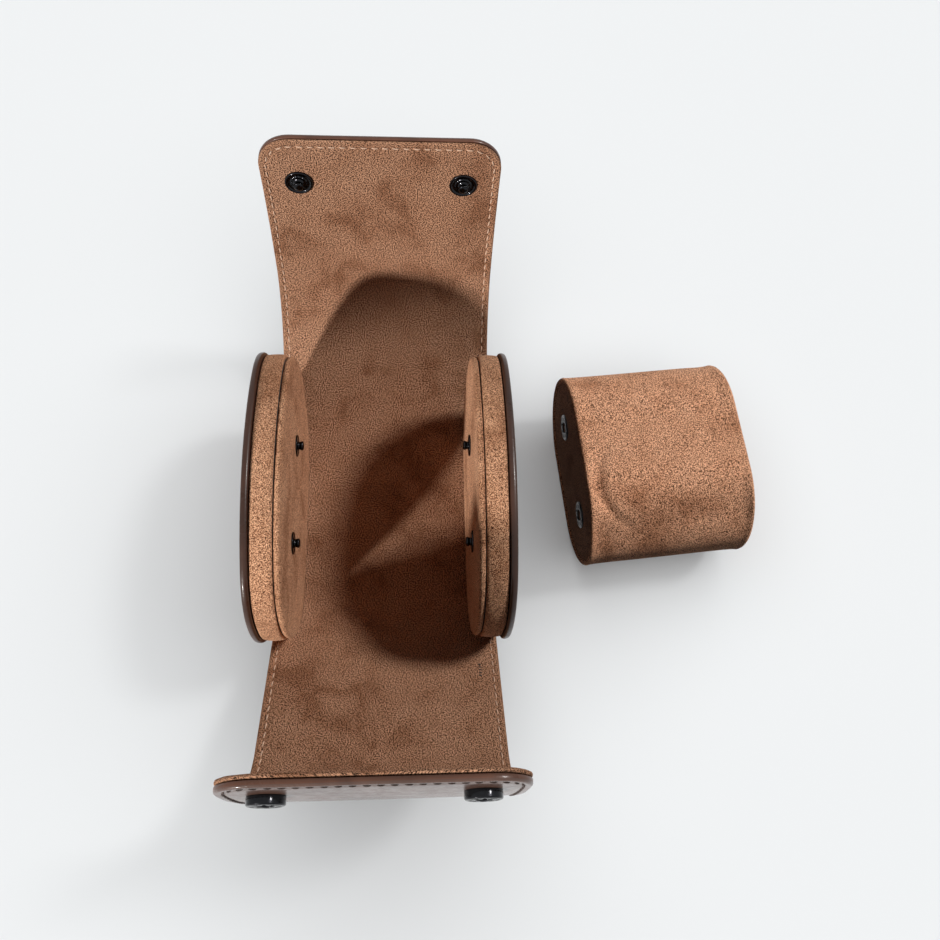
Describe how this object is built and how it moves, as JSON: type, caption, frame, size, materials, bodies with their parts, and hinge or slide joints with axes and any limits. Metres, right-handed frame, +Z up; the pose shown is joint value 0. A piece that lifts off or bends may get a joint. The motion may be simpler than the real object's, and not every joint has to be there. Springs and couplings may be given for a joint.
{
  "type": "watch travel roll",
  "caption": "Open leather watch travel roll with two padded end caps, folding flaps closed by snap fasteners, and a removable suede watch cushion.",
  "frame": {"origin": "middle of the flat underside of the base, on the surface it rests on", "axes": "+X across the roll from the left cap to the right cap, +Y towards the rear flap that carries the studs, +Z up"},
  "size_m": [0.1739, 0.1995, 0.1084],
  "materials": {
    "suede": "short napped suede",
    "leather": "smooth semi-gloss",
    "board": "matt pressed board",
    "foam": "open-cell foam",
    "snaps": "polished black nickel plate"
  },
  "bodies": {
    "case": {"base_leather": "leather", "base_board": "board", "base_lining": "suede", "left_plate": "leather", "left_backer": "board", "left_band": "suede", "left_core": "foam", "left_panel": "suede", "left_studs": "snaps", "right_plate": "leather", "right_backer": "board", "right_band": "suede", "right_core": "foam", "right_panel": "suede", "right_studs": "snaps"},
    "front_1": {"front_leather_1": "leather", "front_board_1": "board", "front_lining_1": "suede"},
    "front_2": {"front_leather_2": "leather", "front_board_2": "board", "front_lining_2": "suede"},
    "front_3": {"front_leather_3": "leather", "front_board_3": "board", "front_lining_3": "suede", "front_sockets": "snaps", "front_eyelets": "snaps"},
    "rear_1": {"rear_leather_1": "leather", "rear_board_1": "board", "rear_lining_1": "suede"},
    "rear_2": {"rear_leather_2": "leather", "rear_board_2": "board", "rear_lining_2": "suede"},
    "rear_3": {"rear_leather_3": "leather", "rear_board_3": "board", "rear_lining_3": "suede"},
    "rear_4": {"rear_leather_4": "leather", "rear_board_4": "board", "rear_lining_4": "suede", "rear_studs": "snaps", "rear_covers": "snaps"},
    "cushion": {"pad_cover": "suede", "pad_core": "foam", "pad_left_panel": "suede", "pad_right_panel": "suede", "pad_left_sockets": "snaps", "pad_right_sockets": "snaps"}
  },
  "joints": [
    {"name": "front_fold_1", "type": "hinge", "parent": "case", "child": "front_1", "pos_m": [0, -0.04107, 0.0129], "axis": [-1, 0, 0], "range_deg": [0, 29.56]},
    {"name": "front_fold_2", "type": "hinge", "parent": "front_1", "child": "front_2", "pos_m": [0, -0.05617, 0.0227], "axis": [-1, 0, 0], "range_deg": [0, 27.34]},
    {"name": "front_fold_3", "type": "hinge", "parent": "front_2", "child": "front_3", "pos_m": [0, -0.07378, 0.03414], "axis": [-1, 0, 0], "range_deg": [0, 24.78]},
    {"name": "rear_fold_1", "type": "hinge", "parent": "case", "child": "rear_1", "pos_m": [0, 0.03781, 0.00953], "axis": [1, 0, 0], "range_deg": [0, 23.55]},
    {"name": "rear_fold_2", "type": "hinge", "parent": "rear_1", "child": "rear_2", "pos_m": [0, 0.04878, 0.0144], "axis": [1, 0, 0], "range_deg": [0, 30.92]},
    {"name": "rear_fold_3", "type": "hinge", "parent": "rear_2", "child": "rear_3", "pos_m": [0, 0.0813, 0.038], "axis": [1, 0, 0], "range_deg": [0, 9.05]},
    {"name": "rear_fold_4", "type": "hinge", "parent": "rear_3", "child": "rear_4", "pos_m": [0, 0.09249, 0.07413], "axis": [1, 0, 0], "range_deg": [0, 36.56]},
    {"name": "cushion_lift", "type": "slide", "parent": "case", "child": "cushion", "axis": [0, 0, 1], "range_m": [0, 0.12]}
  ],
  "couplings": [
    {"joint": "front_fold_2", "follows": "front_fold_1", "ratio": 0.9246},
    {"joint": "front_fold_3", "follows": "front_fold_1", "ratio": 0.838},
    {"joint": "rear_fold_2", "follows": "rear_fold_1", "ratio": 1.3125},
    {"joint": "rear_fold_3", "follows": "rear_fold_1", "ratio": 0.3839},
    {"joint": "rear_fold_4", "follows": "rear_fold_1", "ratio": 1.552}
  ]
}
